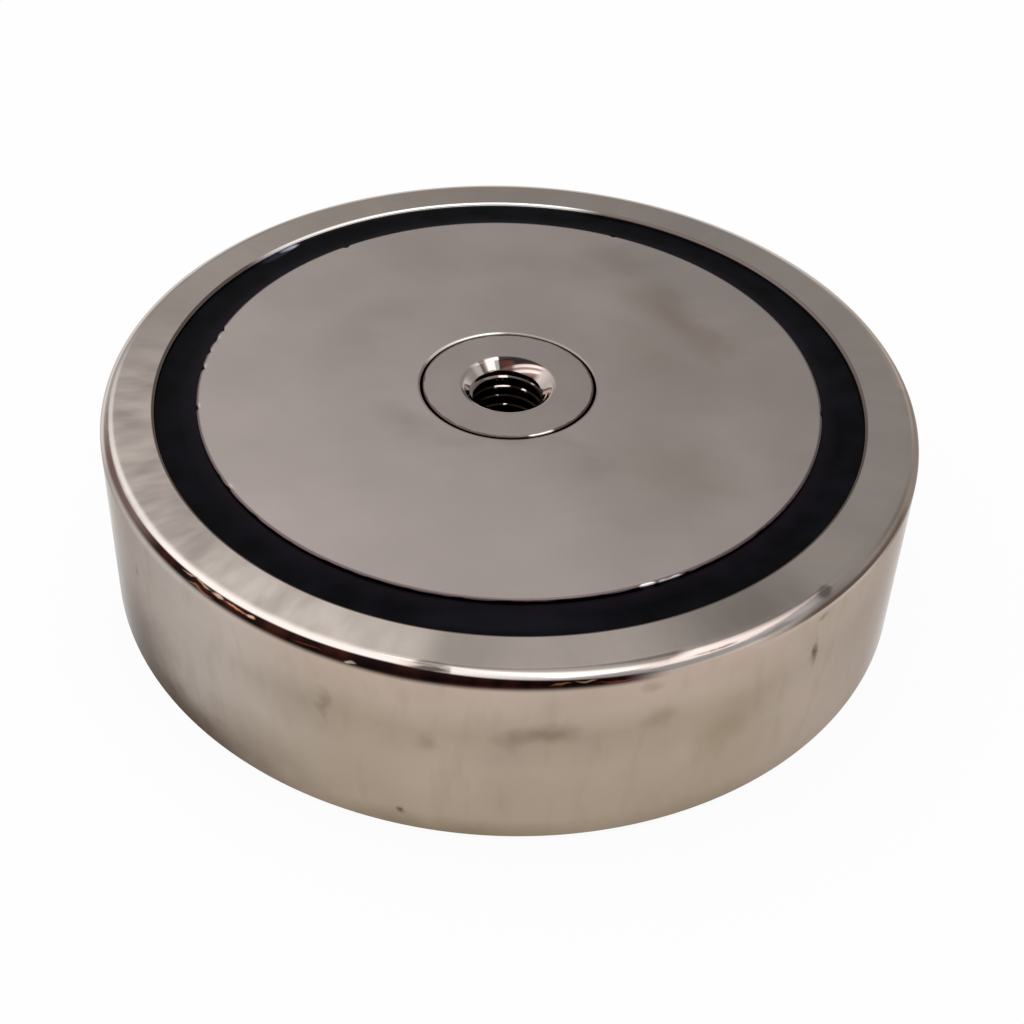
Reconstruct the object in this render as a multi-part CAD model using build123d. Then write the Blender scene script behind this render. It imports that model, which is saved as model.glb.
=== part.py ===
from build123d import *
import os

# Round pot magnet with a threaded centre bush.
#
# A turned steel pot holds one ring magnet that pulls through the pot's open face.
# Black potting compound fills the wide ring between the magnet and the pot's wall.
# A shouldered steel bush sits in the magnet's bore with its shoulder on the pot's
# floor, and its spigot goes through the floor. It is tapped right through, so an eye
# bolt or a stud can be screwed in from either side.
#
# Frame: the origin is the centre of the pot's back face, which the magnet stands on,
# and +Z points out of the magnetic face. Units are millimetres.

# Pot, turned from one piece of steel.
POT_DIAMETER = 120.0
POT_HEIGHT = 30.0
POT_WALL = 8.0
POT_FLOOR = 12.0
RIM_ROUND = 2.4  # radius of the rim's outer edge
MOUTH_CHAMFER = 0.5  # on the rim's inner edge
BACK_CHAMFER = 1.0  # on the outer edge of the back face
FLOOR_BORE_CHAMFER = 0.3  # on the back face, round the bush's spigot

# Potting compound, cast into the ring between the magnet and the pot's wall.
POTTING_WIDTH = 6.0
POTTING_RECESS = 0.9  # from the rim down to the lowest line of the cast surface
POTTING_MENISCUS = 0.2  # how far the surface climbs to each wall

# Ring magnet, flush with the rim.
MAGNET_EDGE_CHAMFER = 0.5
MAGNET_BORE_CHAMFER = 0.4

# Bush, turned and tapped M12.
BUSH_HEAD_DIAMETER = 25.4
BUSH_HEAD_CHAMFER = 0.4
BUSH_GAP = 0.3  # all round, between the head and the magnet's bore
BUSH_SHOULDER = 3.0  # radial width that bears on the pot's floor
BUSH_SPIGOT_CHAMFER = 0.4
BUSH_BACK_RECESS = 0.2  # keeps the spigot's end off what the pot stands on
SPIGOT_CLEARANCE = 0.02  # radial, in the floor's bore
THREAD_DIAMETER = 12.0
THREAD_PITCH = 1.75
COUNTERSINK_LIP = 0.8  # how far each countersink is wider than the thread, all round

# Sizes that follow from those above.
pot_radius = POT_DIAMETER / 2
cavity_radius = pot_radius - POT_WALL
magnet_radius = cavity_radius - POTTING_WIDTH
head_radius = BUSH_HEAD_DIAMETER / 2
magnet_bore_radius = head_radius + BUSH_GAP
spigot_radius = head_radius - BUSH_SHOULDER
floor_bore_radius = spigot_radius + SPIGOT_CLEARANCE
tapping_radius = (THREAD_DIAMETER - THREAD_PITCH) / 2
countersink_depth = THREAD_DIAMETER / 2 + COUNTERSINK_LIP - tapping_radius


def ring_section(inner_radius, outer_radius, bottom, top):
    """A rectangle in the half section: radius along local X, height along local Y."""
    with Locations((inner_radius, bottom)):
        Rectangle(outer_radius - inner_radius, top - bottom, align=(Align.MIN, Align.MIN))


def corner(section, radius, height):
    """The one vertex of a half section at this radius and height."""
    return section.vertices().sort_by_distance((radius, height, 0))[0]


def turned(section, name):
    """The half section swept round Z, as one solid with its node's name."""
    solid = revolve(section.sketch, axis=Axis.Z).solid()
    solid.label = name
    return solid


def make_pot():
    """Wall and floor in one, open at the top, with a plain bore through the floor."""
    with BuildSketch(Plane.XZ) as section:
        ring_section(floor_bore_radius, pot_radius, 0, POT_FLOOR)
        ring_section(cavity_radius, pot_radius, 0, POT_HEIGHT)
        fillet(corner(section, pot_radius, POT_HEIGHT), RIM_ROUND)
        chamfer(corner(section, cavity_radius, POT_HEIGHT), MOUTH_CHAMFER)
        chamfer(corner(section, pot_radius, 0), BACK_CHAMFER)
        chamfer(corner(section, floor_bore_radius, 0), FLOOR_BORE_CHAMFER)
    return turned(section, "pot")


def make_ring_magnet():
    """Stands on the floor and ends flush with the rim, with every edge broken."""
    with BuildSketch(Plane.XZ) as section:
        ring_section(magnet_bore_radius, magnet_radius, POT_FLOOR, POT_HEIGHT)
        for height in (POT_FLOOR, POT_HEIGHT):
            chamfer(corner(section, magnet_radius, height), MAGNET_EDGE_CHAMFER)
            chamfer(corner(section, magnet_bore_radius, height), MAGNET_BORE_CHAMFER)
    return turned(section, "ring_magnet")


def make_potting_ring():
    """Fills the ring from the floor up, below the rim, with a hollow cast surface."""
    lowest = POT_HEIGHT - POTTING_RECESS
    climb = lowest + POTTING_MENISCUS
    inner_edge = (magnet_radius, climb)
    trough = (magnet_radius + POTTING_WIDTH / 2, lowest)
    outer_edge = (cavity_radius, climb)
    with BuildSketch(Plane.XZ) as section:
        with BuildLine():
            Polyline(inner_edge, (magnet_radius, POT_FLOOR), (cavity_radius, POT_FLOOR), outer_edge)
            ThreePointArc(outer_edge, trough, inner_edge)
        make_face()
    return turned(section, "potting_ring")


def make_threaded_bush():
    """Head in the magnet's bore, shoulder on the floor, spigot through the floor.

    The bore has the tapping size, from countersink to countersink.
    """
    with BuildSketch(Plane.XZ) as section:
        ring_section(tapping_radius, head_radius, POT_FLOOR, POT_HEIGHT)
        ring_section(tapping_radius, spigot_radius, BUSH_BACK_RECESS, POT_HEIGHT)
        chamfer(corner(section, head_radius, POT_HEIGHT), BUSH_HEAD_CHAMFER)
        chamfer(corner(section, spigot_radius, BUSH_BACK_RECESS), BUSH_SPIGOT_CHAMFER)
        for height in (BUSH_BACK_RECESS, POT_HEIGHT):
            chamfer(corner(section, tapping_radius, height), countersink_depth)
    return turned(section, "threaded_bush")


os.makedirs("parts", exist_ok=True)
for piece in (make_pot(), make_ring_magnet(), make_potting_ring(), make_threaded_bush()):
    export_step(piece, f"parts/{piece.label}.step")
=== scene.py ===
import math

import bmesh
import bpy
from mathutils import Matrix, Vector


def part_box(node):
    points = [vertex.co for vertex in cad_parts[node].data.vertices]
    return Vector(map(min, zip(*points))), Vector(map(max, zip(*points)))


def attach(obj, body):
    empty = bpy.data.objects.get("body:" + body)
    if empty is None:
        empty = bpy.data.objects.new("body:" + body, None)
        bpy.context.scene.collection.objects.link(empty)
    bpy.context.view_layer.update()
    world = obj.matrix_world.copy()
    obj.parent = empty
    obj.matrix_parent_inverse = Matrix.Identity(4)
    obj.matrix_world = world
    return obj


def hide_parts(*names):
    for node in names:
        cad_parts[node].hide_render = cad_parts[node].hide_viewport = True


# A round pot magnet lying on its back, its magnetic face up: a nickel-plated steel pot,
# a nickel-plated ring magnet, black potting between them, and a tapped centre bush.

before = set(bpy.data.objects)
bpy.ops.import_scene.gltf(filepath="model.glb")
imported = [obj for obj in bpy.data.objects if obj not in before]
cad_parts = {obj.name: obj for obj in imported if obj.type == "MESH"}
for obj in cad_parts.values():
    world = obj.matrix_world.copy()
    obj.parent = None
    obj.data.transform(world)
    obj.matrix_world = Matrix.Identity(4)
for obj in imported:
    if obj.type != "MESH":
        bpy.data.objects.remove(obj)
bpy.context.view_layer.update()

MM = 0.001

# Sizes read from the frame, in metres.
POT_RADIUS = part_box("pot")[1].x
FACE_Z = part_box("pot")[1].z
FACE_MM = FACE_Z / MM
CAVITY_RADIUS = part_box("potting_ring")[1].x
POTTING_EDGE_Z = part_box("potting_ring")[1].z
MAGNET_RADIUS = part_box("ring_magnet")[1].x
FLOOR_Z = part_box("ring_magnet")[0].z
HEAD_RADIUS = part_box("threaded_bush")[1].x
BUSH_BACK_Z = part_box("threaded_bush")[0].z

# Edges and fits that the boxes don't give, as the pieces were turned.
RIM_ROUND = 2.4 * MM
MOUTH_ROUND = 0.5 * MM
BACK_CHAMFER = 1.0 * MM
FLOOR_BORE_CHAMFER = 0.3 * MM
POTTING_MENISCUS = 0.2 * MM
MAGNET_EDGE_ROUND = 0.35 * MM
MAGNET_BORE_ROUND = 0.4 * MM
HEAD_ROUND = 0.25 * MM
BUSH_GAP = 0.3 * MM
BUSH_SHOULDER = 3.0 * MM
SPIGOT_CHAMFER = 0.4 * MM
SPIGOT_CLEARANCE = 0.02 * MM
THREAD_MINOR_RADIUS = 5.125 * MM
THREAD_MAJOR_RADIUS = 6.0 * MM
THREAD_PITCH = 1.75 * MM
THREAD_FLANK = (0.11, 0.45)  # where it begins and ends, in pitches from the middle of a crest
THREAD_ROWS = 16  # in each pitch
COUNTERSINK_RADIUS = 6.8 * MM
COUNTERSINK_LIP_ROUND = 0.9 * MM
COUNTERSINK_SLOPE = math.radians(45)
SMOOTHING_LOOP = 0.12 * MM  # from a rounded edge to the loop that keeps the flat beside it flat

LATHE_SEGMENTS = 288
MAGNET_SEGMENTS = 720  # its chips need them
MAGNET_LOOPS = (0.12, 0.3, 0.5, 0.7, 0.9)  # mm in from its rounded edge, for its chips too
BUSH_SEGMENTS = 144
ROUND_STEPS = 10
SHARP_ANGLE = 32  # degrees, from where an edge shows as crisp

# Where a countersink's rounded lip begins on the face, and how deep it meets the cone.
lip_reach = COUNTERSINK_LIP_ROUND * math.tan(COUNTERSINK_SLOPE / 2)
lip_drop = COUNTERSINK_LIP_ROUND * (1 - math.cos(COUNTERSINK_SLOPE))

magnet_bore_radius = HEAD_RADIUS + BUSH_GAP
spigot_radius = HEAD_RADIUS - BUSH_SHOULDER
floor_bore_radius = spigot_radius + SPIGOT_CLEARANCE


# ---------------------------------------------------------------- turned shapes


def arc(centre, radius, start, end, steps=ROUND_STEPS):
    """Points (radius, height) round a centre, from one angle to the other, in degrees."""
    points = []
    for step in range(steps + 1):
        angle = math.radians(start + (end - start) * step / steps)
        points.append((centre[0] + radius * math.cos(angle), centre[1] + radius * math.sin(angle)))
    return points


def lathe(mesh, profile, segments, closed=True):
    """Turns a profile of (radius, height) points round Z into a bmesh."""
    rings = []
    for radius, height in profile:
        ring = []
        for segment in range(segments):
            angle = math.tau * segment / segments
            ring.append(mesh.verts.new((radius * math.cos(angle), radius * math.sin(angle), height)))
        rings.append(ring)
    pairs = list(zip(rings, rings[1:]))
    if closed:
        pairs.append((rings[-1], rings[0]))
    for inner, outer in pairs:
        for segment in range(segments):
            after = (segment + 1) % segments
            mesh.faces.new((inner[segment], inner[after], outer[after], outer[segment]))


def finish_piece(mesh, name, node, material):
    """Makes a bmesh the piece that stands for a CAD node, with outward faces and crisp machined edges."""
    bmesh.ops.recalc_face_normals(mesh, faces=mesh.faces)
    data = bpy.data.meshes.new(name)
    mesh.to_mesh(data)
    mesh.free()
    data.shade_smooth()
    data.set_sharp_from_angle(angle=math.radians(SHARP_ANGLE))
    data.materials.append(material)
    piece = bpy.data.objects.new(name, data)
    bpy.context.scene.collection.objects.link(piece)
    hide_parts(node)
    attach(piece, "root")


def pot_profile():
    """The steel cup: back, side, rounded rim, mouth, cavity wall, floor and floor bore."""
    rim_centre = (POT_RADIUS - RIM_ROUND, FACE_Z - RIM_ROUND)
    mouth_centre = (CAVITY_RADIUS + MOUTH_ROUND, FACE_Z - MOUTH_ROUND)
    return [
        (floor_bore_radius + FLOOR_BORE_CHAMFER, 0),
        (POT_RADIUS - BACK_CHAMFER, 0),
        (POT_RADIUS, BACK_CHAMFER),
        (POT_RADIUS, rim_centre[1] - SMOOTHING_LOOP),
        *arc(rim_centre, RIM_ROUND, 0, 90, 3 * ROUND_STEPS),
        (rim_centre[0] - SMOOTHING_LOOP, FACE_Z),
        (mouth_centre[0] + SMOOTHING_LOOP, FACE_Z),
        *arc(mouth_centre, MOUTH_ROUND, 90, 180),
        (CAVITY_RADIUS, mouth_centre[1] - SMOOTHING_LOOP),
        (CAVITY_RADIUS, FLOOR_Z),
        (floor_bore_radius, FLOOR_Z),
        (floor_bore_radius, FLOOR_BORE_CHAMFER),
    ]


def magnet_profile():
    """The ring magnet, every edge rounded by tumbling before it was plated."""
    outer, bore = MAGNET_EDGE_ROUND, MAGNET_BORE_ROUND
    return [
        *arc((MAGNET_RADIUS - outer, FLOOR_Z + outer), outer, -90, 0),
        (MAGNET_RADIUS, FACE_Z - outer - SMOOTHING_LOOP),
        *arc((MAGNET_RADIUS - outer, FACE_Z - outer), outer, 0, 90),
        *((MAGNET_RADIUS - outer - inset * MM, FACE_Z) for inset in MAGNET_LOOPS),
        (magnet_bore_radius + bore + SMOOTHING_LOOP, FACE_Z),
        *arc((magnet_bore_radius + bore, FACE_Z - bore), bore, 90, 180),
        (magnet_bore_radius, FACE_Z - bore - SMOOTHING_LOOP),
        *arc((magnet_bore_radius + bore, FLOOR_Z + bore), bore, 180, 270),
    ]


def potting_profile():
    """The cast ring, its surface hollow between the two walls that it wetted."""
    half_width = (CAVITY_RADIUS - MAGNET_RADIUS) / 2
    sag_radius = (half_width**2 + POTTING_MENISCUS**2) / (2 * POTTING_MENISCUS)
    middle = (CAVITY_RADIUS + MAGNET_RADIUS) / 2
    centre = (middle, POTTING_EDGE_Z - POTTING_MENISCUS + sag_radius)
    reach = math.degrees(math.asin(half_width / sag_radius))
    return [
        *arc(centre, sag_radius, 270 + reach, 270 - reach),
        (MAGNET_RADIUS, FLOOR_Z),
        (CAVITY_RADIUS, FLOOR_Z),
    ]


def bush_shell_profile():
    """The bush's outside, from one countersink's edge round to the other's."""
    centre = (HEAD_RADIUS - HEAD_ROUND, FACE_Z - HEAD_ROUND)
    lip = COUNTERSINK_RADIUS + lip_reach
    return [
        *arc((lip, FACE_Z - COUNTERSINK_LIP_ROUND), COUNTERSINK_LIP_ROUND, 135, 90),
        (lip + SMOOTHING_LOOP, FACE_Z),
        (centre[0] - SMOOTHING_LOOP, FACE_Z),
        *arc(centre, HEAD_ROUND, 90, 0),
        (HEAD_RADIUS, centre[1] - SMOOTHING_LOOP),
        (HEAD_RADIUS, FLOOR_Z),
        (spigot_radius, FLOOR_Z),
        (spigot_radius, BUSH_BACK_Z + SPIGOT_CHAMFER),
        (spigot_radius - SPIGOT_CHAMFER, BUSH_BACK_Z),
        (lip + SMOOTHING_LOOP, BUSH_BACK_Z),
        *arc((lip, BUSH_BACK_Z + COUNTERSINK_LIP_ROUND), COUNTERSINK_LIP_ROUND, 270, 225),
    ]


# ---------------------------------------------------------------- nodes

CALC = "ShaderNodeMath"
VECTOR = "ShaderNodeVectorMath"
RANGE = "ShaderNodeMapRange"
NOISE = "ShaderNodeTexNoise"
SMOOTH = {"interpolation_type": "SMOOTHSTEP"}  # for a RANGE node


def add_node(tree, kind, inputs=(), **settings):
    """Adds a node. Inputs maps a socket's name or number to a value, or to a node or socket to link it to."""
    node = tree.nodes.new(kind)
    for name, value in settings.items():
        setattr(node, name, value)
    for key, value in dict(inputs).items():
        if isinstance(value, bpy.types.Node):
            value = next(socket for socket in value.outputs if socket.enabled)
        if isinstance(value, bpy.types.NodeSocket):
            tree.links.new(value, node.inputs[key])
        else:
            node.inputs[key].default_value = value
    return node


def linear(code):
    """An sRGB hex colour as the linear values that a shader takes."""
    channels = [int(code[place:place + 2], 16) / 255 for place in (1, 3, 5)]
    return tuple(c / 12.92 if c <= 0.04045 else ((c + 0.055) / 1.055) ** 2.4 for c in channels) + (1.0,)


# ---------------------------------------------------------------- thread, by Geometry Nodes


def thread_tree():
    """A tube whose wall is a right-hand thread between two countersinks.

    A flat grid is wrapped round Z. One way it runs round the bore, the other way along
    it, and it is sheared by one pitch a turn, so each row of the grid follows the helix.
    """
    tree = bpy.data.node_groups.new("tapped_bore", "GeometryNodeTree")
    for name in ("Minor Radius", "Major Radius", "Pitch", "Back", "Face", "Countersink Radius"):
        tree.interface.new_socket(name, in_out="INPUT", socket_type="NodeSocketFloat")
    for name in ("Segments", "Rows per Pitch"):
        tree.interface.new_socket(name, in_out="INPUT", socket_type="NodeSocketInt")
    tree.interface.new_socket("Material", in_out="INPUT", socket_type="NodeSocketMaterial")
    tree.interface.new_socket("Geometry", in_out="OUTPUT", socket_type="NodeSocketGeometry")
    size = add_node(tree, "NodeGroupInput").outputs

    length = add_node(tree, CALC, {0: size["Face"], 1: size["Back"]}, operation="SUBTRACT")
    pitches_long = add_node(tree, CALC, {0: length, 1: size["Pitch"]}, operation="DIVIDE")
    spare = add_node(tree, CALC, {0: pitches_long, 1: 1.0}, operation="ADD")
    turns = add_node(tree, CALC, {0: spare}, operation="CEIL")
    rows = add_node(tree, CALC, {0: turns, 1: size["Rows per Pitch"], 2: 1.0}, operation="MULTIPLY_ADD")
    columns = add_node(tree, CALC, {0: size["Segments"], 1: 1.0}, operation="ADD")
    sheet_inputs = {"Size X": 1.0, "Size Y": 1.0, "Vertices X": columns, "Vertices Y": rows}
    sheet = add_node(tree, "GeometryNodeMeshGrid", sheet_inputs)
    place = add_node(tree, "ShaderNodeSeparateXYZ", {0: add_node(tree, "GeometryNodeInputPosition")}).outputs
    round_share = add_node(tree, CALC, {0: place["X"], 1: 0.5}, operation="ADD")
    along_share = add_node(tree, CALC, {0: place["Y"], 1: 0.5}, operation="ADD")

    # Pitches along the bore, starting one pitch below its back end, and rising one pitch a turn.
    pitches = add_node(tree, CALC, {0: along_share, 1: turns, 2: -1.0}, operation="MULTIPLY_ADD")
    sheared = add_node(tree, CALC, {0: pitches, 1: round_share}, operation="ADD")
    rise = add_node(tree, CALC, {0: sheared, 1: size["Pitch"], 2: size["Back"]}, operation="MULTIPLY_ADD")
    above_back = add_node(tree, CALC, {0: rise, 1: size["Back"]}, operation="MAXIMUM")
    height = add_node(tree, CALC, {0: above_back, 1: size["Face"]}, operation="MINIMUM")

    # The thread's section: flat crest, flank and narrow root, softened by the plating.
    zigzag = add_node(tree, CALC, {0: pitches, 1: 0.5}, operation="PINGPONG")
    groove_inputs = {"Value": zigzag, "From Min": THREAD_FLANK[0], "From Max": THREAD_FLANK[1]}
    groove = add_node(tree, RANGE, groove_inputs, **SMOOTH)
    depth = add_node(tree, CALC, {0: size["Major Radius"], 1: size["Minor Radius"]}, operation="SUBTRACT")
    thread = add_node(tree, CALC, {0: groove, 1: depth, 2: size["Minor Radius"]}, operation="MULTIPLY_ADD")

    # Each countersink is a 45 degree cone, so its radius falls by the depth below the end.
    below_face = add_node(tree, CALC, {0: size["Face"], 1: height}, operation="SUBTRACT")
    over_back = add_node(tree, CALC, {0: height, 1: size["Back"]}, operation="SUBTRACT")
    to_end = add_node(tree, CALC, {0: below_face, 1: over_back}, operation="MINIMUM")
    cone = add_node(tree, CALC, {0: size["Countersink Radius"], 1: to_end}, operation="SUBTRACT")
    radius = add_node(tree, CALC, {0: thread, 1: cone}, operation="MAXIMUM")

    angle = add_node(tree, CALC, {0: round_share, 1: math.tau}, operation="MULTIPLY")
    cosine = add_node(tree, CALC, {0: angle}, operation="COSINE")
    sine = add_node(tree, CALC, {0: angle}, operation="SINE")
    across = add_node(tree, CALC, {0: radius, 1: cosine}, operation="MULTIPLY")
    deep = add_node(tree, CALC, {0: radius, 1: sine}, operation="MULTIPLY")
    wrapped = add_node(tree, "ShaderNodeCombineXYZ", {"X": across, "Y": deep, "Z": height})
    wall = add_node(tree, "GeometryNodeSetPosition", {"Geometry": sheet, "Position": wrapped})
    welded = add_node(tree, "GeometryNodeMergeByDistance", {"Geometry": wall, "Distance": 0.001 * MM})
    real = add_node(tree, "GeometryNodeRealizeInstances", {"Geometry": welded})
    shown = add_node(tree, "GeometryNodeSetMaterial", {"Geometry": real, "Material": size["Material"]})
    add_node(tree, "NodeGroupOutput", {"Geometry": shown})
    return tree


def tapped_bore(material):
    """The bush's bore as a plain mesh: M12 x 1.75, countersunk at both ends."""
    tree = thread_tree()
    holder = bpy.data.objects.new("tapped_bore_maker", bpy.data.meshes.new("tapped_bore_maker"))
    bpy.context.scene.collection.objects.link(holder)
    modifier = holder.modifiers.new("tapped_bore", "NODES")
    modifier.node_group = tree
    values = {
        "Minor Radius": THREAD_MINOR_RADIUS,
        "Major Radius": THREAD_MAJOR_RADIUS,
        "Pitch": THREAD_PITCH,
        "Back": BUSH_BACK_Z + lip_drop,
        "Face": FACE_Z - lip_drop,
        "Countersink Radius": COUNTERSINK_RADIUS - lip_drop,
        "Segments": BUSH_SEGMENTS,
        "Rows per Pitch": THREAD_ROWS,
        "Material": material,
    }
    for item in tree.interface.items_tree:
        if item.in_out == "INPUT":
            modifier[item.identifier] = values[item.name]
    evaluated = holder.evaluated_get(bpy.context.evaluated_depsgraph_get())
    made = bpy.data.meshes.new_from_object(evaluated)
    holder.modifiers.remove(modifier)
    bpy.data.objects.remove(holder)
    return made


# ---------------------------------------------------------------- materials


def turned_place_group():
    """Where a point is on a turned piece, for patterns that follow the turning.

    Place is in mm, Radius and Height too, Turn is in degrees from +X, and Way is the
    level direction out from the axis, which has no seam.
    """
    group = bpy.data.node_groups.new("turned_place", "ShaderNodeTree")
    for name in ("Place", "Way"):
        group.interface.new_socket(name, in_out="OUTPUT", socket_type="NodeSocketVector")
    for name in ("Radius", "Height", "Turn"):
        group.interface.new_socket(name, in_out="OUTPUT", socket_type="NodeSocketFloat")
    spot = add_node(group, "ShaderNodeTexCoord").outputs["Object"]
    place = add_node(group, VECTOR, {0: spot, "Scale": 1 / MM}, operation="SCALE")
    level = add_node(group, VECTOR, {0: place, 1: (1, 1, 0)}, operation="MULTIPLY")
    way = add_node(group, VECTOR, {0: level}, operation="NORMALIZE")
    radius = add_node(group, VECTOR, {0: level}, operation="LENGTH")
    split = add_node(group, "ShaderNodeSeparateXYZ", {0: place}).outputs
    angle = add_node(group, CALC, {0: split["Y"], 1: split["X"]}, operation="ARCTAN2")
    turned = add_node(group, CALC, {0: angle, 1: math.tau}, operation="FLOORED_MODULO")
    degrees = add_node(group, CALC, {0: turned}, operation="DEGREES")
    results = {"Place": place, "Way": way, "Radius": radius, "Height": split["Z"], "Turn": degrees}
    add_node(group, "NodeGroupOutput", results)
    return group


TURNED_PLACE = turned_place_group()


def new_material(name):
    """A node material, and the tree, shader and turned place that its pattern starts from."""
    material = bpy.data.materials.new(name)
    material.use_nodes = True
    tree = material.node_tree
    where = add_node(tree, "ShaderNodeGroup", node_tree=TURNED_PLACE).outputs
    return material, tree, tree.nodes["Principled BSDF"], where


def blot(tree, place, turn, radius, height, size, soft=1.0):
    """A soft patch, 1 in its middle and 0 outside it: half sizes outwards, round and up, in mm."""
    angle = math.radians(turn)
    centre = (radius * math.cos(angle), radius * math.sin(angle), height)
    inputs = {"Vector": place, "Location": centre, "Rotation": (0, 0, angle), "Scale": size}
    local = add_node(tree, "ShaderNodeMapping", inputs, vector_type="TEXTURE")
    away = add_node(tree, VECTOR, {0: local}, operation="LENGTH").outputs["Value"]
    return add_node(tree, RANGE, {"Value": away, "From Min": 1.0, "From Max": 1.0 - soft}, **SMOOTH)


def window(tree, value, low, high, low_soft, high_soft, within=None):
    """1 where a value is from low to high, falling smoothly to 0 over the soft width outside each.

    Within is another level, if any, that this one is multiplied by.
    """
    rise = add_node(tree, RANGE, {"Value": value, "From Min": low - low_soft, "From Max": low}, **SMOOTH)
    fall = add_node(tree, RANGE, {"Value": value, "From Min": high + high_soft, "From Max": high}, **SMOOTH)
    level = add_node(tree, CALC, {0: rise, 1: fall}, operation="MULTIPLY")
    if within is None:
        return level
    return add_node(tree, CALC, {0: within, 1: level}, operation="MULTIPLY")


def facing(tree, where, direction, low, high, least=0.0):
    """From least to 1 as the way out from the axis turns to a level direction: low and high are cosines."""
    along = add_node(tree, VECTOR, {0: where["Way"], 1: (*direction, 0)}, operation="DOT_PRODUCT")
    inputs = {"Value": along.outputs["Value"], "From Min": low, "From Max": high, "To Min": least}
    return add_node(tree, RANGE, inputs, **SMOOTH)


def ramps(tree, value, start, *rises):
    """A start, and what each (from, to, rise) adds to it while the value goes from the one to the other."""
    total = start
    for low, high, rise in rises:
        ramp = add_node(tree, RANGE, {"Value": value, "From Min": low, "From Max": high, "To Max": rise})
        total = add_node(tree, CALC, {0: ramp, 1: total}, operation="ADD")
    return total


def bent_place(tree, where, noise, reach):
    """The place shifted by up to half of reach, in mm, so that what is laid on it has ragged edges."""
    shift = {0: noise.outputs["Color"], 1: (0.5, 0.5, 0.5)}
    centred = add_node(tree, VECTOR, shift, operation="SUBTRACT")
    return add_node(tree, VECTOR, {0: centred, 1: reach, 2: where["Place"]}, operation="MULTIPLY_ADD")


def streaks(tree, where, along, round_scale, along_scale, detail):
    """Noise that changes fast round the axis and slowly along the radius or the height."""
    quick = add_node(tree, VECTOR, {0: where["Way"], "Scale": round_scale}, operation="SCALE")
    lengthwise = add_node(tree, "ShaderNodeCombineXYZ", {"Z": where[along]})
    slow = add_node(tree, VECTOR, {0: lengthwise, "Scale": along_scale}, operation="SCALE")
    place = add_node(tree, VECTOR, {0: quick, 1: slow}, operation="ADD")
    return add_node(tree, NOISE, {"Vector": place, "Scale": 1.0, "Detail": detail})


def tint(tree, colour, over, amount, share=1.0, blend="MIX"):
    """Lays a hex colour, or a node's, over another where amount says, at the most by share."""
    if share != 1.0:
        amount = add_node(tree, CALC, {0: amount, 1: share}, operation="MULTIPLY")
    if isinstance(over, str):
        over = linear(over)
    inputs = {0: amount, 6: colour, 7: over}
    return add_node(tree, "ShaderNodeMix", inputs, data_type="RGBA", blend_type=blend)


def clouded(tree, colour, noise, darkest, palest, low=0.3, high=0.7):
    """A colour times darkest to palest, as a noise goes from low to high."""
    inputs = {"Value": noise, "From Min": low, "From Max": high, "To Min": darkest, "To Max": palest}
    return tint(tree, colour, add_node(tree, RANGE, inputs), 1.0, blend="MULTIPLY")


def ramped_colour(tree, value, stains):
    """A colour by a value, through a list of (value, colour)."""
    lowest, highest = stains[0][0], stains[-1][0]
    share = add_node(tree, RANGE, {"Value": value, "From Min": lowest, "From Max": highest})
    ramp = add_node(tree, "ShaderNodeValToRGB", {0: share})
    stops = ramp.color_ramp.elements
    stops[0].color, stops[1].color = linear(stains[0][1]), linear(stains[-1][1])
    for at, code in stains[1:-1]:
        stops.new((at - lowest) / (highest - lowest)).color = linear(code)
    return ramp


def surface(tree, shader, colour, value, low, high, first, last):
    """Links a shader's colour, and a roughness that goes from first to last as a value does low to high."""
    tree.links.new(colour.outputs[2], shader.inputs["Base Color"])
    inputs = {"Value": value, "From Min": low, "From Max": high, "To Min": first, "To Max": last}
    rough = add_node(tree, RANGE, inputs)
    tree.links.new(rough.outputs[0], shader.inputs["Roughness"])


def plate(tree, shader, where, colour, cloud, roughness, ripple_width, ripple_height):
    """Gives a nickel shader its colour, a haze with two ends of roughness, and a ripple in mm."""
    surface(tree, shader, colour, cloud, 0.35, 0.65, *roughness)
    shader.inputs["Metallic"].default_value = 1.0
    ripple = add_node(tree, NOISE, {"Vector": where["Place"], "Scale": 1 / ripple_width, "Detail": 2.0})
    bump = add_node(tree, "ShaderNodeBump", {"Height": ripple, "Distance": ripple_height * MM})
    tree.links.new(bump.outputs[0], shader.inputs["Normal"])


# Broad soft painted reflection bands across the rim: turn in degrees, half width in mm, how much paler.
RIM_BAND_RADIUS = 56.0  # mm from the axis, their middles
RIM_BAND_REACH = 14.0  # mm, their half size outwards and up
RIM_REFLECTION_BANDS = (
    (164, 20, -0.13),
    (186, 12, -0.04),
    (212, 9, -0.08),
    (236, 22, 0.26),
    (249, 13, 0.30),
    (255, 6, 0.20),
    (263, 7, -0.16),
    (284, 8, 0.08),
    (301, 16, -0.40),
)

# Painted reflection marks on the rounded edge, above its painted dark band: turn and bend in degrees,
# half width and half height in mm, colour, strength.
EDGE_MARKS = (
    (294.5, 35, 4.0, 0.22, "#85756d", 0.80),
    (303.0, 51, 4.0, 0.50, "#9d928c", 0.40),
    (259.3, 12, 2.8, 0.60, "#6a625c", 0.85),
    (259.2, 29, 3.2, 0.40, "#2c2523", 0.80),
    (312.3, 27, 1.9, 1.00, "#554943", 0.65),
)

# Lines round the edge, each an angle of bend in degrees and how it moves round the pot: from one turn to
# another it moves down the edge by so many degrees. The painted highlight starts further down towards a break
# at the front right, and so again past it. The painted dark band, a dark reflection painted brown, has a top
# and a foot.
HIGHLIGHT_START = (0, (252, 287, 19), (288, 292, -14), (292, 307, 9))
DARK_BAND_TOP = (24.5, (190, 206, 6), (254, 302, 29.5))
DARK_BAND_FOOT = (12, (150, 200, 38), (205, 256, 17))
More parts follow.
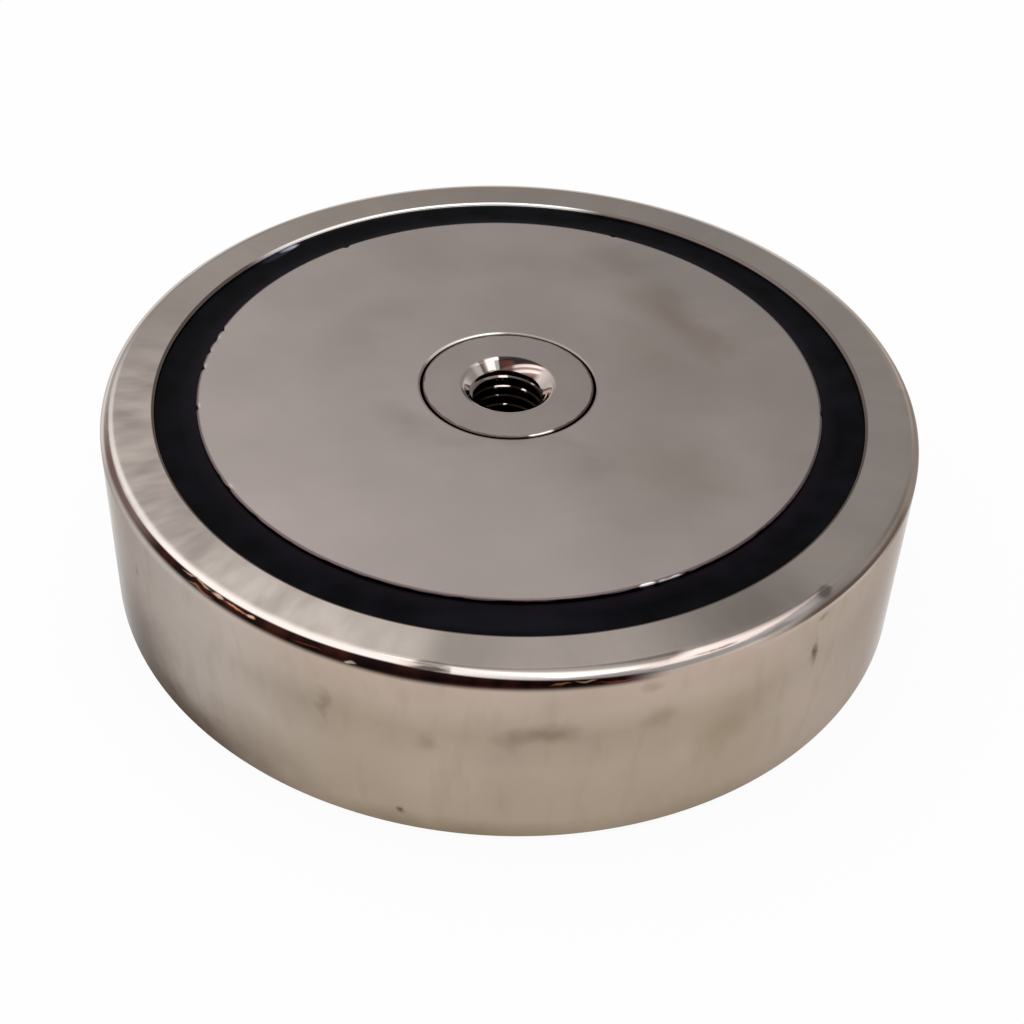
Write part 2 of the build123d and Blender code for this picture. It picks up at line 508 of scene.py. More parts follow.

# The side's colour by height in mm: painted shade, darker towards the foot and paler under the rim.
SIDE_SHADES = (
    (0, "#8f7f6e"),
    (4.2, "#a39483"),
    (13.5, "#a99a8a"),
    (19.8, "#a39484"),
    (24, "#b1a192"),
    (27.6, "#b5a395"),
)

# Marks on the side: turn in degrees, height, half width and half height in mm, colour, strength. The broad
# dark ones at heights of 3 mm or less are painted shade at the foot, low on the left and front.
SIDE_BLOTS_AND_SHADE = (
    (273.3, 20.5, 7.0, 2.6, "#6f5f4d", 0.55),
    (269.0, 19.5, 2.5, 3.0, "#6f5f4d", 0.35),
    (287.5, 21.0, 3.5, 2.6, "#7a6952", 0.35),
    (297.0, 15.0, 7.0, 7.0, "#83735a", 0.40),
    (259.0, 18.0, 2.5, 2.5, "#74644f", 0.35),
    (246.0, 20.0, 1.2, 4.0, "#6d5c49", 0.40),
    (310.8, 20.8, 0.9, 3.4, "#4a3f35", 0.75),
    (255.7, 3.9, 0.9, 1.0, "#4a3d2c", 0.80),
    (211.0, 20.0, 1.6, 2.0, "#6e5f5a", 0.45),
    (286.2, 26.9, 1.8, 1.2, "#7a685c", 0.35),
    (311.0, 27.0, 1.0, 0.8, "#5f4d42", 0.45),
    (208.0, 0.0, 24.0, 22.0, "#423a36", 0.92),
    (205.0, 3.0, 14.0, 14.0, "#3a322f", 0.50),
    (222.0, 1.0, 16.0, 7.0, "#352b24", 0.65),
    (233.0, 3.0, 18.0, 12.0, "#6b5b4b", 0.55),
    (222.0, -3.0, 30.0, 11.0, "#3d322a", 0.80),
    (262.0, 0.0, 26.0, 5.0, "#6f5e47", 0.50),
)

# Painted glints, copper coloured, in the painted dark band: turn and bend in degrees, half width and half
# height in mm, colour.
BAND_GLINTS = (
    (226.0, 38, 4.0, 0.10, "#a58672"),
    (229.8, 40, 1.3, 0.20, "#c7a48c"),
    (233.0, 43, 2.6, 0.12, "#b5805d"),
    (235.4, 45, 0.9, 0.20, "#d6ae8c"),
    (227.0, 55, 3.0, 0.14, "#8a5f4c"),
    (249.7, 61, 1.0, 0.22, "#c9bcb2"),
    (244.0, 52, 3.0, 0.10, "#5f2c20"),
    (274.8, 54, 1.7, 0.15, "#b5784e"),
    (277.8, 51, 1.6, 0.14, "#d6ae8c"),
    (281.5, 59, 3.2, 0.10, "#7c3a26"),
)

# Haze on the magnet: turn in degrees, distance from the axis and half sizes in mm, colour, strength.
MAGNET_HAZE = (
    (36, 33, (7, 14, 3), "#94826f", 0.50),
    (18, 34, (5, 10, 3), "#9a8a76", 0.35),
    (62, 40, (5, 9, 3), "#958680", 0.30),
    (20, 24, (9, 12, 3), "#a39584", 0.25),
    (320, 30, (14, 9, 3), "#a1937f", 0.30),
    (150, 26, (6, 20, 3), "#a3948a", 0.25),
    (215, 18, (5, 9, 3), "#8f8076", 0.30),
    (300, 22, (6, 6, 3), "#8f8176", 0.25),
    (270, 14, (2.5, 20, 3), "#9b8a7f", 0.25),
)


def edge_place(bend):
    """Distance from the axis and height, in mm, of a place on the pot's rounded edge."""
    turned = math.radians(bend)
    drop = RIM_ROUND * (1 - math.cos(turned))
    return (POT_RADIUS - RIM_ROUND * (1 - math.sin(turned))) / MM, (FACE_Z - drop) / MM


def pot_rim(tree, where, bend, rays, ragged):
    """The colour of the ground rim, with painted reflections, and of the rounded edge above the painted dark
    band.
    """
    turn = where["Turn"]
    # Painted reflection rays across the turning marks, each 2 to 3 degrees wide and strongest on one side,
    # over broad soft painted bands.
    ray_inputs = {"Value": rays, "From Min": 0.34, "From Max": 0.66, "To Min": -1.0, "To Max": 1.0}
    ray_level = add_node(tree, RANGE, ray_inputs)
    lit = facing(tree, where, (-0.85, -0.53), 0.6, 0.97, least=0.12)
    ray_part = add_node(tree, CALC, {0: ray_level, 1: lit}, operation="MULTIPLY")
    broad = add_node(tree, NOISE, {"Vector": where["Way"], "Scale": 4.2, "Detail": 1.0})
    broad_inputs = {"Value": broad, "From Min": 0.3, "From Max": 0.7, "To Min": -1.0, "To Max": 1.0}
    broad_level = add_node(tree, RANGE, broad_inputs)
    painted_reflection_level = add_node(tree, CALC, {0: ray_part, 1: 0.20, 2: 1.0}, operation="MULTIPLY_ADD")
    painted_reflection_level = add_node(tree, CALC, {0: broad_level, 1: 0.03, 2: painted_reflection_level}, operation="MULTIPLY_ADD")
    for band_turn, half_width, strength in RIM_REFLECTION_BANDS:
        size = (RIM_BAND_REACH, half_width, RIM_BAND_REACH)
        band = blot(tree, where["Place"], band_turn, RIM_BAND_RADIUS, FACE_MM, size)
        painted_reflection_level = add_node(tree, CALC, {0: band, 1: strength, 2: painted_reflection_level}, operation="MULTIPLY_ADD")
    colour = tint(tree, linear("#b8ada5"), painted_reflection_level, 1.0, blend="MULTIPLY")

    # A painted highlight along the edge, with one painted dark gap in it.
    start = ramps(tree, turn, *HIGHLIGHT_START)
    past_start = add_node(tree, CALC, {0: bend, 1: start}, operation="SUBTRACT")
    highlight_line = add_node(tree, RANGE, {"Value": past_start, "From Min": 4.0, "From Max": 21.0}, **SMOOTH)
    highlight_line = window(tree, turn, 222, 308, 19, 5, within=highlight_line)
    gap = window(tree, turn, 257.5, 261.5, 3, 0.5)
    beside_gap = add_node(tree, RANGE, {"Value": gap, "To Min": 1.0, "To Max": 0.0})
    highlight_line = add_node(tree, CALC, {0: highlight_line, 1: beside_gap}, operation="MULTIPLY")
    colour = tint(tree, colour, "#e9dfda", highlight_line)
    # At the front a painted dull reflection runs up to where the painted highlight starts.
    dull_reflection = add_node(tree, RANGE, {"Value": past_start, "From Min": 12.0, "From Max": 2.0}, **SMOOTH)
    turned_over = add_node(tree, RANGE, {"Value": bend, "From Min": 2.0, "From Max": 8.0})
    dull_reflection = add_node(tree, CALC, {0: dull_reflection, 1: turned_over}, operation="MULTIPLY")
    dull_reflection = window(tree, turn, 262, 289, 3, 2, within=dull_reflection)
    colour = tint(tree, colour, "#675f5a", dull_reflection, 0.8)
    # On the left the painted highlight is a thin line.
    thin = window(tree, bend, 13, 20, 9, 7, within=window(tree, turn, 182, 203, 22, 19))
    colour = tint(tree, colour, "#f4ebe7", thin, 0.65)
    # A painted highlight on the cavity's mouth at the back; duller round the rest.
    mouth_mm = CAVITY_RADIUS / MM
    mouth_inputs = {"Value": where["Radius"], "From Min": mouth_mm + 0.55, "From Max": mouth_mm + 0.4}
    mouth = add_node(tree, RANGE, mouth_inputs)
    highlight_side = facing(tree, where, (-0.29, 0.957), 0.80, 0.90)
    mouth_colour = tint(tree, linear("#6f635e"), "#fffaf7", highlight_side)
    colour = tint(tree, colour, mouth_colour, mouth)
    for mark_turn, at_bend, half_round, half_up, code, share in EDGE_MARKS:
        radius, height = edge_place(at_bend)
        mark = blot(tree, ragged, mark_turn, radius, height, (half_up, half_round, half_up), 0.6)
        colour = tint(tree, colour, code, mark, share)
    return colour


def pot_side(tree, where, cloud, ragged):
    """The side's colour, with painted shade and reflections: darker at the foot, paler under the rim, left
    and right; clouds, upright smears and blots.
    """
    colour = ramped_colour(tree, where["Height"], SIDE_SHADES)
    # Painted reflections: paler to the left and to the right.
    colour = tint(tree, colour, "#bbb4b0", facing(tree, where, (-1, 0), 0.35, 0.9), 0.95)
    colour = tint(tree, colour, "#c6bab1", facing(tree, where, (1, 0), 0.4, 0.9), 0.9)
    colour = clouded(tree, colour, cloud, 0.93, 1.06)
    smears = streaks(tree, where, "Height", 22.0, 0.11, 3.0)
    smear_level = add_node(tree, RANGE, {"Value": smears, "From Min": 0.52, "From Max": 0.74})
    colour = tint(tree, colour, "#7f6f5d", smear_level, 0.15)
    for mark_turn, height, half_round, half_up, code, share in SIDE_BLOTS_AND_SHADE:
        mark = blot(tree, ragged, mark_turn, POT_RADIUS / MM, height, (6.0, half_round, half_up))
        colour = tint(tree, colour, code, mark, share)
    return colour


def pot_edge(tree, where, colour, bend, under_foot, rays, ragged):
    """The pot's colour with what lies low on its rounded edge: painted highlights, painted dull reflections
    and the painted dark band.
    """
    turn = where["Turn"]
    # A painted highlight low on the edge, below the dark band's left end.
    below = add_node(tree, RANGE, {"Value": under_foot, "From Min": -2.0, "From Max": 6.0}, **SMOOTH)
    above_side = add_node(tree, RANGE, {"Value": bend, "From Min": 84.0, "From Max": 70.0}, **SMOOTH)
    low_highlight = add_node(tree, CALC, {0: below, 1: above_side}, operation="MULTIPLY")
    low_highlight = window(tree, turn, 145, 190, 35, 12, within=low_highlight)
    colour = tint(tree, colour, "#f8f2ee", low_highlight, 0.9)
    # And a painted highlight at the back, where it turns over from the rim.
    at_back = facing(tree, where, (0.26, 0.966), 0.5, 0.85)
    back_highlight = window(tree, bend, 8, 38, 8, 24, within=at_back)
    colour = tint(tree, colour, "#f8f2ee", back_highlight, 0.9)
    # Past the right end of the highlight its foot has a painted brown reflection, and a painted dull one
    # further right.
    brown_foot = window(tree, bend, 62, 68, 24, 7, within=window(tree, turn, 311, 331, 12, 6))
    colour = tint(tree, colour, "#44342e", brown_foot, 0.9)
    at_right = facing(tree, where, (0.978, -0.208), 0.88, 0.97)
    dull_foot = window(tree, bend, 40, 78, 16, 10, within=at_right)
    colour = tint(tree, colour, "#6f6159", dull_foot, 0.65)

    # The painted dark band: a dark reflection, painted brown. It pales towards the left.
    over_top = add_node(tree, CALC, {0: bend, 1: ramps(tree, turn, *DARK_BAND_TOP)}, operation="SUBTRACT")
    begins = add_node(tree, RANGE, {"Value": over_top, "From Min": -3.0, "From Max": 3.0}, **SMOOTH)
    ends = add_node(tree, RANGE, {"Value": under_foot, "From Min": 15.0, "From Max": -4.0}, **SMOOTH)
    dark_band = add_node(tree, CALC, {0: begins, 1: ends}, operation="MULTIPLY")
    dark_band = window(tree, turn, 200, 282, 20, 7, within=dark_band)
    patchy = add_node(tree, RANGE, {"Value": rays, "From Min": 0.42, "From Max": 0.62})
    brown = tint(tree, linear("#1b1110"), "#371b16", patchy)
    paler_left = add_node(tree, RANGE, {"Value": turn, "From Min": 218, "From Max": 211})
    brown = tint(tree, brown, "#7a6560", paler_left, 0.85)
    colour = tint(tree, colour, brown, dark_band)
    for spot_turn, at_bend, half_round, half_up, code in BAND_GLINTS:
        radius, height = edge_place(at_bend)
        spot = blot(tree, ragged, spot_turn, radius, height, (0.5, half_round, half_up), 0.6)
        colour = tint(tree, colour, code, spot, 0.85)
    return colour


def nickel_on_pot():
    """Bright nickel plating on turned steel.

    It mirrors softly. The ground rim has painted reflections: pale rays across its fine turning marks, and
    broad bands. The side has upright smears, handling blots and painted shade towards its foot. The rounded
    edge has a painted highlight line and a painted brown dark reflection band, with copper-coloured painted
    glints.
    """
    material, tree, shader, where = new_material("nickel_plated_turned_steel")
    edge_mm = RIM_ROUND / MM

    # Round the edge, in degrees: 0 at the flat rim, 90 at the side.
    out = add_node(tree, CALC, {0: where["Radius"], 1: POT_RADIUS / MM - edge_mm}, operation="SUBTRACT")
    up = add_node(tree, CALC, {0: where["Height"], 1: FACE_MM - edge_mm}, operation="SUBTRACT")
    bend_turn = add_node(tree, CALC, {0: out, 1: up}, operation="ARCTAN2")
    bend = add_node(tree, CALC, {0: bend_turn}, operation="DEGREES")

    rays = streaks(tree, where, "Radius", 17.0, 0.12, 2.5)
    cloud = add_node(tree, NOISE, {"Vector": where["Place"], "Scale": 1 / 14, "Detail": 3.0})
    wander = add_node(tree, NOISE, {"Vector": where["Place"], "Scale": 1 / 3.5, "Detail": 3.0})
    fine_ragged = bent_place(tree, where, wander, (0.9, 0.9, 1.0))
    ragged = bent_place(tree, where, wander, (4.0, 4.0, 3.0))

    # The rim's colour gives way to the side's under the painted dark band.
    dark_band_foot = ramps(tree, where["Turn"], *DARK_BAND_FOOT)
    under_foot = add_node(tree, CALC, {0: bend, 1: dark_band_foot}, operation="SUBTRACT")
    wall = add_node(tree, RANGE, {"Value": under_foot, "From Min": -16.0, "From Max": -1.0}, **SMOOTH)
    rim_colour = pot_rim(tree, where, bend, rays, fine_ragged)
    colour = tint(tree, rim_colour, pot_side(tree, where, cloud, ragged), wall)
    colour = pot_edge(tree, where, colour, bend, under_foot, rays, fine_ragged)

    # Under the pot: rings from facing the back, drawn coarser than the real feed so that they show.
    under = add_node(tree, RANGE, {"Value": where["Height"], "From Min": 0.4, "From Max": 0.1})
    ring_place = add_node(tree, "ShaderNodeCombineXYZ", {"X": where["Radius"]})
    rings = add_node(tree, NOISE, {"Vector": ring_place, "Scale": 1 / 0.7, "Detail": 2.0})
    back_colour = clouded(tree, linear("#b5aaa2"), rings, 0.90, 1.04, 0.35, 0.65)
    colour = tint(tree, colour, back_colour, under)
    shader.inputs["Specular Tint"].default_value = linear("#c6bfb9")
    plate(tree, shader, where, colour, cloud, (0.10, 0.17), 2.5, 0.012)
    return material


# The countersink's painted reflections, bright and dark brown. Across the back right they follow a spiral
# that the tool left: distance from the axis in mm where it starts, and colour. Left of that they lie by turn
# in degrees.
SPIRAL_START = 70  # turn in degrees
SPIRAL_STEP = 1.3 / 60  # mm nearer the axis with each degree of turn
SPIRAL_REFLECTIONS = (
    (4.80, "#6a4c43"),
    (5.15, "#8d6f66"),
    (5.30, "#efdfd8"),
    (5.50, "#efdfd8"),
    (5.65, "#9a7f76"),
    (5.80, "#9a7f76"),
    (5.95, "#f8ebe5"),
    (6.15, "#d9c4bb"),
    (6.25, "#2c1613"),
    (6.50, "#130908"),
    (7.00, "#0f0706"),
)
WEDGE_REFLECTIONS = (
    (100, "#5a2f27"),
    (103, "#fffaf6"),
    (118, "#fffaf6"),
    (122, "#8b7a74"),
    (128, "#8b7a74"),
    (131, "#f6e8e2"),
    (138, "#f6e8e2"),
    (145, "#c4b6b0"),
)

# Painted highlights on the magnet's outer edge: turn in degrees, distance from the axis and half sizes in mm,
# colour, strength.
MAGNET_GLINTS = (
    (296.5, 46.0, (0.30, 4.0, 0.9), "#e8e6ee", 0.95),
    (291.5, 45.9, (0.22, 1.4, 0.9), "#f4f2f6", 0.90),
)

# Painted bluish highlights at the potting's edges, and a painted sheen across its front: turn in degrees,
# distance from the axis and half sizes in mm, colour, strength.
POTTING_GLINTS = (
    (133, 51.9, (0.5, 2.4, 1.0), "#c5c9dc", 0.9),
    (136, 51.6, (0.7, 4.5, 1.0), "#3a3c50", 0.5),
    (268, 49.0, (2.6, 16.0, 2.0), "#1b1a22", 0.5),
)


def nickel_on_magnet():
    """Nickel plating on a sintered magnet: a satin mirror, cloudy, with brown haze from handling."""
    material, tree, shader, where = new_material("nickel_plated_sintered_magnet")
    wander = add_node(tree, NOISE, {"Vector": where["Place"], "Scale": 1 / 9, "Detail": 3.0})
    ragged = bent_place(tree, where, wander, (9.0, 9.0, 0.0))
    cloud = add_node(tree, NOISE, {"Vector": where["Place"], "Scale": 1 / 18, "Detail": 4.0})
    colour = clouded(tree, linear("#baaea8"), cloud, 0.94, 1.05)
    for turn, radius, size, code, share in MAGNET_HAZE:
        colour = tint(tree, colour, code, blot(tree, ragged, turn, radius, FACE_MM, size), share)
    # A painted highlight on the bore's edge at the back left; dull brown elsewhere.
    bore_mm = magnet_bore_radius / MM
    bore_inputs = {"Value": where["Radius"], "From Min": bore_mm + 0.5, "From Max": bore_mm + 0.3}
    bore_edge = add_node(tree, RANGE, bore_inputs)
    highlight_side = facing(tree, where, (-0.57, 0.82), 0.80, 0.93)
    edge_colour = tint(tree, linear("#9b8e87"), "#fbf5f2", highlight_side)
    colour = tint(tree, colour, edge_colour, bore_edge)
    # The rounded outer edge is painted darker, a dull purple-brown reflection, and the potting left a ragged
    # black film on it.
    edge_mm = MAGNET_RADIUS / MM
    dull_inputs = {"Value": where["Radius"], "From Min": edge_mm - 0.5, "From Max": edge_mm - 0.25}
    dull = add_node(tree, RANGE, dull_inputs)
    colour = tint(tree, colour, "#5d4b4f", dull, 0.9)
    fine = add_node(tree, NOISE, {"Vector": where["Place"], "Scale": 1 / 3.2, "Detail": 2.0})
    fine_ragged = bent_place(tree, where, fine, (0.9, 0.9, 0.0))
    creep = add_node(tree, CALC, {0: fine, 1: 0.5, 2: where["Height"]}, operation="MULTIPLY_ADD")
    film = add_node(tree, RANGE, {"Value": creep, "From Min": FACE_MM + 0.12, "From Max": FACE_MM + 0.04})
    film = add_node(tree, CALC, {0: film, 1: dull}, operation="MULTIPLY")
    colour = tint(tree, colour, "#0b0a0c", film)
    for turn, radius, size, code, share in MAGNET_GLINTS:
        glint = blot(tree, fine_ragged, turn, radius, FACE_MM, size, 0.5)
        colour = tint(tree, colour, code, glint, share)
    plate(tree, shader, where, colour, cloud, (0.15, 0.22), 4, 0.008)
    return material


def nickel_on_bush():
    """Nickel plating on a turned and tapped bush.

    The face is a clean satin mirror, its rim a painted dark reflection with one painted highlight. The
    countersink has painted bright and dark brown reflections, and the thread is painted near black, as shade,
    with painted glints.
    """
    material, tree, shader, where = new_material("nickel_plated_tapped_steel")
    radius, height, turn = where["Radius"], where["Height"], where["Turn"]
    cloud = add_node(tree, NOISE, {"Vector": where["Place"], "Scale": 1 / 7, "Detail": 3.0})
    colour = clouded(tree, linear("#b3a6a0"), cloud, 0.94, 1.03)

    # The head's rounded edge: a painted dark reflection, with one painted highlight at the front right.
    head_mm = HEAD_RADIUS / MM
    fine = add_node(tree, NOISE, {"Vector": where["Place"], "Scale": 1 / 1.8, "Detail": 2.0})
    reach = add_node(tree, CALC, {0: fine, 1: 0.4, 2: radius}, operation="MULTIPLY_ADD")
    head_inputs = {"Value": reach, "From Min": head_mm - 0.18, "From Max": head_mm - 0.02}
    head_edge = add_node(tree, RANGE, head_inputs)
    glint = facing(tree, where, (0.36, -0.933), 0.985, 0.995)
    edge_colour = tint(tree, linear("#66554f"), "#fffaf8", glint)
    colour = tint(tree, colour, edge_colour, head_edge)

    # The countersink, told from the face by how near the axis it is.
    mouth_mm = COUNTERSINK_RADIUS / MM
    mouth = add_node(tree, RANGE, {"Value": radius, "From Min": mouth_mm + 0.15, "From Max": mouth_mm - 0.5})
    colour = tint(tree, colour, "#c4b6b0", mouth)
    spiral_inputs = {0: turn, 1: SPIRAL_STEP, 2: -SPIRAL_START * SPIRAL_STEP}
    spiral = add_node(tree, CALC, spiral_inputs, operation="MULTIPLY_ADD")
    spiral = add_node(tree, CALC, {0: spiral, 1: radius}, operation="ADD")
    spiral_colour = ramped_colour(tree, spiral, SPIRAL_REFLECTIONS)
    # A painted dark brown reflection at the back.
    brown_patch = window(tree, radius, 4.5, 6.3, 0.2, 0.3, within=window(tree, turn, 84, 100, 8, 4))
    spiral_colour = tint(tree, spiral_colour, "#6a3a30", brown_patch, 0.9)
    wedge_colour = ramped_colour(tree, turn, WEDGE_REFLECTIONS)
    near_inputs = {"Value": radius, "From Min": mouth_mm + 0.4, "From Max": mouth_mm + 0.1}
    near_axis = add_node(tree, RANGE, near_inputs)
    cone = window(tree, height, FACE_MM - 1.8, FACE_MM + 1, 0.2, 1, within=near_axis)
    in_spiral = window(tree, turn, 44, 100, 14, 2, within=cone)
    colour = tint(tree, colour, spiral_colour, in_spiral, 0.95)
    in_wedge = window(tree, turn, 101, 142, 2, 6, within=cone)
    colour = tint(tree, colour, wedge_colour, in_wedge, 0.95)
    # A painted dark brown reflection low on the left, at the outer lip.
    low_left = window(tree, turn, 196, 214, 10, 12, within=window(tree, radius, 6.5, 6.95, 0.2, 0.2))
    colour = tint(tree, colour, "#3d2d2b", low_left, 0.85)

    # The thread: painted shade in the bore, near black, with painted glints.
    under = add_node(tree, RANGE, {"Value": height, "From Min": FACE_MM - 1.4, "From Max": FACE_MM - 2.8})
    in_bore = add_node(tree, CALC, {0: under, 1: near_axis}, operation="MULTIPLY")
    glint_noise = add_node(tree, NOISE, {"Vector": where["Place"], "Scale": 1 / 2.2, "Detail": 2.0})
    sparkle = add_node(tree, RANGE, {"Value": glint_noise, "From Min": 0.59, "From Max": 0.67}, **SMOOTH)
    bore_shade_and_glints = tint(tree, linear("#1f1614"), "#dccfc9", sparkle)
    colour = tint(tree, colour, bore_shade_and_glints, in_bore)
    surface(tree, shader, colour, mouth, 0, 1, 0.13, 0.09)
    shader.inputs["Metallic"].default_value = 1.0
    return material


def black_epoxy():
    """Cast black epoxy: nearly black, a little blue, with a dull sheen that dust and flow make uneven."""
    material, tree, shader, where = new_material("cast_black_epoxy")
    flow = add_node(tree, NOISE, {"Vector": where["Place"], "Scale": 1 / 5, "Detail": 3.0})
    level = add_node(tree, RANGE, {"Value": flow, "From Min": 0.4, "From Max": 0.7})
    colour = tint(tree, linear("#050507"), "#0d0c13", level)
    # A painted sheen: a little paler next to the magnet.
    magnet_mm = MAGNET_RADIUS / MM
    sheen_inputs = {"Value": where["Radius"], "From Min": magnet_mm + 2.4, "From Max": magnet_mm + 0.3}
    sheen_by_magnet = add_node(tree, RANGE, sheen_inputs)
    colour = tint(tree, colour, "#231a22", sheen_by_magnet, 0.4)
    for turn, radius, size, code, share in POTTING_GLINTS:
        glint = blot(tree, where["Place"], turn, radius, POTTING_EDGE_Z / MM, size, 0.6)
        colour = tint(tree, colour, code, glint, share)
    surface(tree, shader, colour, flow, 0.35, 0.65, 0.24, 0.36)
    shader.inputs["Specular IOR Level"].default_value = 0.03
    return material


# ---------------------------------------------------------------- pieces

# Chips in the magnet's brittle edge: turn in degrees, reach along the edge and depth in mm.
MAGNET_CHIPS = (
    (124.4, 0.9, 0.30),
    (163.0, 0.8, 0.35),
    (170.5, 0.7, 0.30),
    (175.8, 0.9, 0.35),
    (166.5, 1.3, 0.20),
    (188.0, 0.8, 0.25),
    (212.0, 0.9, 0.15),
    (66.0, 0.8, 0.20),
    (352.0, 1.0, 0.15),
)


CHIP_BAND = 1.1 * MM  # how far in from the edge a chip can reach


def chip_edge(mesh, chips):
    """Presses chips into the top outer edge of the magnet, in towards the axis and down."""
    for vertex in mesh.verts:
        spot = vertex.co
        near_edge = (math.hypot(spot.x, spot.y) - MAGNET_RADIUS + CHIP_BAND) / MM
        if near_edge <= 0 or spot.z < FACE_Z - 1.0 * MM:
            continue
        for turn, reach, depth in chips:
            angle = math.radians(turn)
            middle = Vector((MAGNET_RADIUS * math.cos(angle), MAGNET_RADIUS * math.sin(angle), FACE_Z))
            away = (spot - middle).length / (reach * MM)
            if away < 1:
                press = depth * MM * (1 - away * away) ** 2 * min(1, near_edge * 1.6)
                inward = Vector((-math.cos(angle), -math.sin(angle), -0.7))
                vertex.co += inward * press


def turned_piece(name, node, profile, material, chips=(), segments=LATHE_SEGMENTS):
    mesh = bmesh.new()
    lathe(mesh, profile, segments)
    chip_edge(mesh, chips)
    finish_piece(mesh, name, node, material)


def bush_piece(material):
    """The bush's turned outside welded to its tapped bore."""
    bore = tapped_bore(material)
    mesh = bmesh.new()
    mesh.from_mesh(bore)
    lathe(mesh, bush_shell_profile(), BUSH_SEGMENTS, closed=False)
    bmesh.ops.remove_doubles(mesh, verts=mesh.verts, dist=0.002 * MM)
    bpy.data.meshes.remove(bore)
    finish_piece(mesh, "bush", "threaded_bush", material)


turned_piece("steel_pot", "pot", pot_profile(), nickel_on_pot())
turned_piece(
    "magnet_ring", "ring_magnet", magnet_profile(), nickel_on_magnet(),
    chips=MAGNET_CHIPS, segments=MAGNET_SEGMENTS,
)
turned_piece("potting", "potting_ring", potting_profile(), black_epoxy())
bush_piece(nickel_on_bush())


# ---------------------------------------------------------------- camera

FRAME_PX = 1024
SENSOR_MM = 36.0
LENS_PX = 1705.0  # focal length
AXIS_PX = (440.0, 400.0)  # where the lens's axis meets the frame
FACE_PX = (508.0, 383.9)  # where the centre of the magnetic face shows
CAMERA_DISTANCE = 253.2 * MM  # from the centre of the magnetic face
CAMERA_PITCH = math.radians(37.25)
CAMERA_ROLL = math.radians(-0.63)


def make_camera():
    level = Vector((1, 0, 0))
    forward = Vector((0, math.cos(CAMERA_PITCH), -math.sin(CAMERA_PITCH)))
    drop = forward.cross(level)
    right = level * math.cos(CAMERA_ROLL) + drop * math.sin(CAMERA_ROLL)
    down = drop * math.cos(CAMERA_ROLL) - level * math.sin(CAMERA_ROLL)
    across, below = ((seen - axis) / LENS_PX for seen, axis in zip(FACE_PX, AXIS_PX))
    to_face = (forward + right * across + down * below).normalized()
    place = Vector((0, 0, FACE_Z)) - to_face * CAMERA_DISTANCE

    data = bpy.data.cameras.new("camera")
    data.sensor_width = SENSOR_MM
    data.lens = LENS_PX / FRAME_PX * SENSOR_MM
    data.shift_x = 0.5 - AXIS_PX[0] / FRAME_PX
    data.shift_y = AXIS_PX[1] / FRAME_PX - 0.5
    data.clip_start = 0.01
    data.clip_end = 200
    camera = bpy.data.objects.new("camera", data)
    turn = Matrix((right, -down, -forward)).transposed()
    camera.matrix_world = Matrix.Translation(place) @ turn.to_4x4()
    bpy.context.scene.collection.objects.link(camera)
    bpy.context.scene.camera = camera


# ---------------------------------------------------------------- studio

STUDIO_FLOOR_SIZE = 60.0
FLOOR_GLOW = 0.94  # how much of the floor shows white whatever the light
PANEL_HEIGHT = 0.9

# The room's light, as shares of white, by direction.
HORIZON_LEVEL = 0.95
ROOM_LEVEL = 0.60
ROOM_LEVEL_AT = 0.595  # the upward part of the direction where it holds
ROOM_RISE = 1.35  # brighter upwards
ROOM_SIDE = -0.9  # darker to the right
ROOM_DARKEST = 0.46
ROOM_BRIGHTEST = 1.25
ROOM_NEAR = 0.75  # the share of it left on the near side


def pale_floor():
    """Pale floor paper. It keeps a soft shadow, and shows white to the eye and in the metal."""
    material = bpy.data.materials.new("pale_studio_paper")
    material.use_nodes = True
    tree = material.node_tree
    tree.nodes.clear()
    paper = add_node(tree, "ShaderNodeBsdfDiffuse", {"Color": linear("#fafafa")})
    white = add_node(tree, "ShaderNodeEmission", {"Color": linear("#ffffff"), "Strength": 1.0})
    ray = add_node(tree, "ShaderNodeLightPath").outputs
    seen = add_node(tree, CALC, {0: ray["Is Camera Ray"], 1: ray["Is Glossy Ray"]}, operation="MAXIMUM")
    seen = add_node(tree, CALC, {0: seen, 1: ray["Is Transmission Ray"]}, operation="MAXIMUM")
    share = add_node(tree, CALC, {0: seen, 1: FLOOR_GLOW}, operation="MULTIPLY")
    mixed = add_node(tree, "ShaderNodeMixShader", {0: share, 1: paper, 2: white})
    add_node(tree, "ShaderNodeOutputMaterial", {"Surface": mixed})
    return material


def make_floor():
    half = STUDIO_FLOOR_SIZE / 2
    data = bpy.data.meshes.new("studio_floor")
    corners = [(-half, -half, 0), (half, -half, 0), (half, half, 0), (-half, half, 0)]
    data.from_pydata(corners, [], [(0, 1, 2, 3)])
    data.materials.append(pale_floor())
    floor = bpy.data.objects.new("studio_floor", data)
    bpy.context.scene.collection.objects.link(floor)


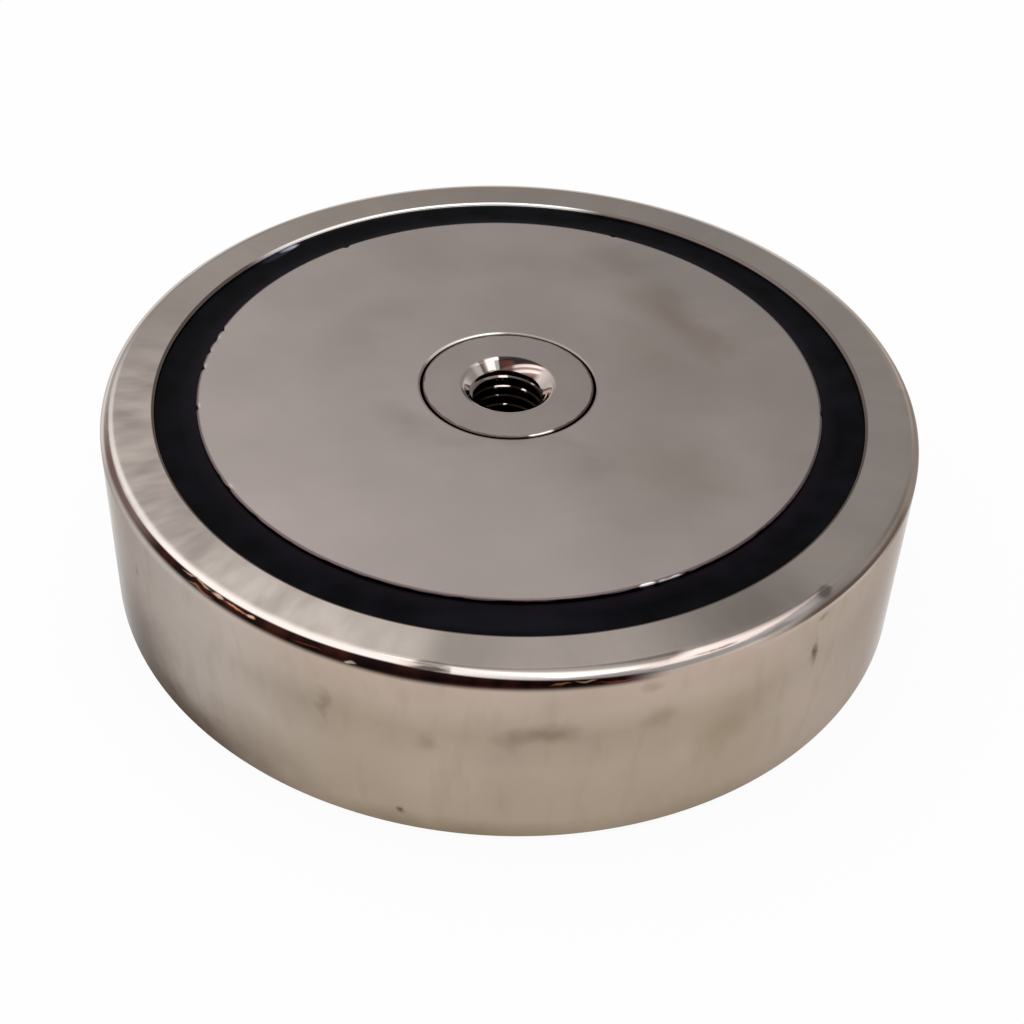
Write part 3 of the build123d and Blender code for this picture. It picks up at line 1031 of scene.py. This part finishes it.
def panel_light(name, middle, size, turn, radiance, tone="#ffffff"):
    """A flat panel that shines down: its middle and size in shares of its height, its turn in degrees."""
    width, depth = size[0] * PANEL_HEIGHT, size[1] * PANEL_HEIGHT
    data = bpy.data.lights.new(name, "AREA")
    data.shape = "RECTANGLE"
    data.size, data.size_y = width, depth
    data.energy = math.pi * width * depth * radiance
    data.color = linear(tone)[:3]
    light = bpy.data.objects.new(name, data)
    light.location = (middle[0] * PANEL_HEIGHT, middle[1] * PANEL_HEIGHT, PANEL_HEIGHT + FACE_Z)
    light.rotation_euler = (0, 0, math.radians(turn))
    bpy.context.scene.collection.objects.link(light)


def make_lights():
    panel_light("panel_middle", (0.17, -0.10), (0.34, 1.10), 20, 0.9)
    panel_light("panel_right", (0.72, -0.22), (0.62, 1.10), 24, 0.75, "#fff1ee")


def make_world():
    """Soft room light by direction: pale at the horizon, grey above it, brighter to the left and overhead."""
    world = bpy.data.worlds.new("soft_room")
    bpy.context.scene.world = world
    world.use_nodes = True
    tree = world.node_tree
    tree.nodes.clear()
    direction = add_node(tree, "ShaderNodeTexCoord").outputs["Generated"]
    split = add_node(tree, "ShaderNodeSeparateXYZ", {0: direction}).outputs
    rise_inputs = {0: split["Z"], 1: ROOM_RISE, 2: ROOM_LEVEL - ROOM_RISE * ROOM_LEVEL_AT}
    rise = add_node(tree, CALC, rise_inputs, operation="MULTIPLY_ADD")
    side = add_node(tree, CALC, {0: split["X"], 1: ROOM_SIDE, 2: rise}, operation="MULTIPLY_ADD")
    low = add_node(tree, CALC, {0: side, 1: ROOM_DARKEST}, operation="MAXIMUM")
    room = add_node(tree, CALC, {0: low, 1: ROOM_BRIGHTEST}, operation="MINIMUM")
    near_inputs = {"Value": split["Y"], "From Min": -0.1, "From Max": -0.7, "To Min": 1, "To Max": ROOM_NEAR}
    near = add_node(tree, RANGE, near_inputs, **SMOOTH)
    room = add_node(tree, CALC, {0: room, 1: near}, operation="MULTIPLY")
    band_inputs = {"Value": split["Z"], "From Min": 0.04, "From Max": 0.36}
    band = add_node(tree, RANGE, band_inputs, **SMOOTH)
    level = add_node(tree, "ShaderNodeMix", {0: band, 2: HORIZON_LEVEL, 3: room})
    back = add_node(tree, "ShaderNodeBackground", {"Color": linear("#ffffff"), "Strength": level})
    add_node(tree, "ShaderNodeOutputWorld", {"Surface": back})


make_camera()
make_floor()
make_lights()
make_world()
bpy.context.scene.view_settings.view_transform = "Standard"
